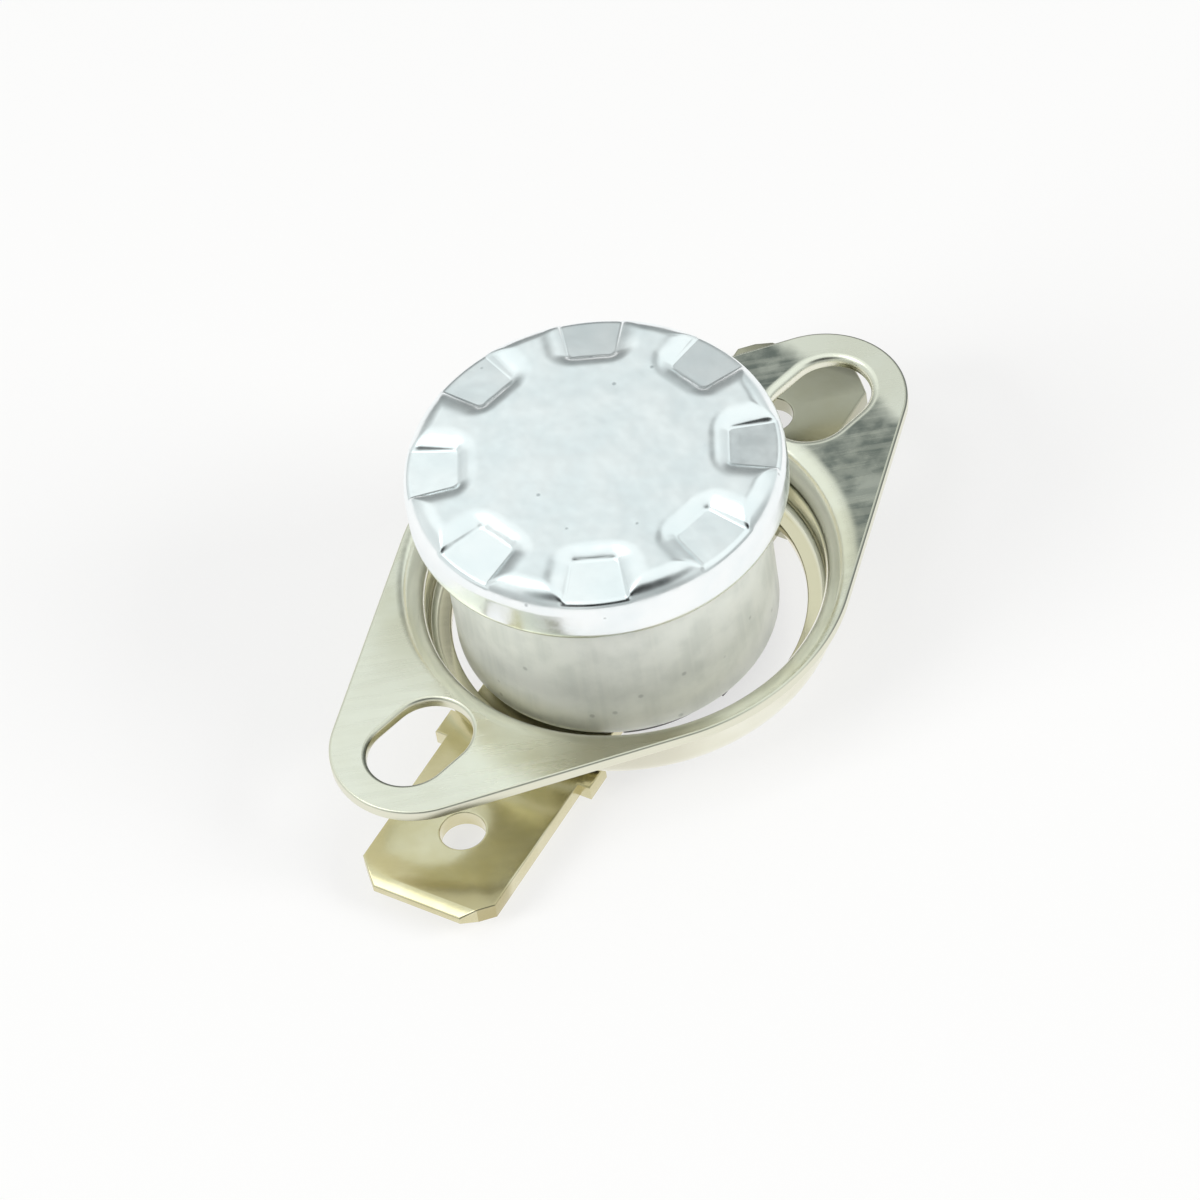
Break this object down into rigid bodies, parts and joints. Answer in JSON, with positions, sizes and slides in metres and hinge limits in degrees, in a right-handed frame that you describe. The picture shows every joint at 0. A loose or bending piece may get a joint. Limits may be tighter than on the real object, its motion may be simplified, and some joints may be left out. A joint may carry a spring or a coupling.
{
  "type": "bimetal thermostat",
  "caption": "Round snap-disc temperature switch with a ribbed aluminium cap, a loose slotted mounting bracket and flat blade terminals.",
  "frame": {"origin": "centre of the sensing face", "axes": "+Z out of the sensing face, +X along the two ears of the bracket"},
  "size_m": [0.0332, 0.0193, 0.012],
  "materials": {
    "cup_aluminium": "drawn and pressed, satin bright",
    "bracket_steel": "stamped steel with a pale warm plating",
    "blade_brass": "stamped brass under thin plating",
    "rivet_brass": "upset brass",
    "base_phenolic": "moulded black phenolic",
    "disc_steel": "rolled bimetal",
    "pin_ceramic": "fired ceramic",
    "inner_brass": "bare brass",
    "spring_bronze": "rolled bronze strip",
    "contact_silver": "silver contact face"
  },
  "bodies": {
    "housing": {"sensing_cup": "cup_aluminium", "bimetal_disc": "disc_steel", "guide_plate": "base_phenolic", "base": "base_phenolic", "arm_support": "inner_brass", "fixed_contact_bracket": "inner_brass", "fixed_contact": "contact_silver", "arm_terminal": "blade_brass", "contact_terminal": "blade_brass", "arm_rivet": "rivet_brass", "contact_rivet": "rivet_brass"},
    "pin": {"transfer_pin": "pin_ceramic"},
    "arm": {"contact_arm": "spring_bronze", "moving_contact": "contact_silver"},
    "bracket": {"mounting_bracket": "bracket_steel"}
  },
  "joints": [
    {"name": "bracket_swivel", "type": "hinge", "parent": "housing", "child": "bracket", "pos_m": [0.00035, -0.00028, -0.00735], "axis": [0, 0, 1], "continuous": true},
    {"name": "pin_travel", "type": "slide", "parent": "housing", "child": "pin", "axis": [0, 0, -1], "range_m": [0, 0.0003], "stiffness_N_per_m": 200, "deforming": ["bimetal_disc"]},
    {"name": "arm_flex", "type": "hinge", "parent": "housing", "child": "arm", "pos_m": [-0.00235, -0.00035, -0.00615], "axis": [-0.1475, 0.9891, 0], "range_deg": [0, 7.5], "deforming": ["contact_arm"]}
  ],
  "couplings": [
    {"joint": "arm_flex", "follows": "pin_travel", "rad_per_m": 421.45}
  ]
}
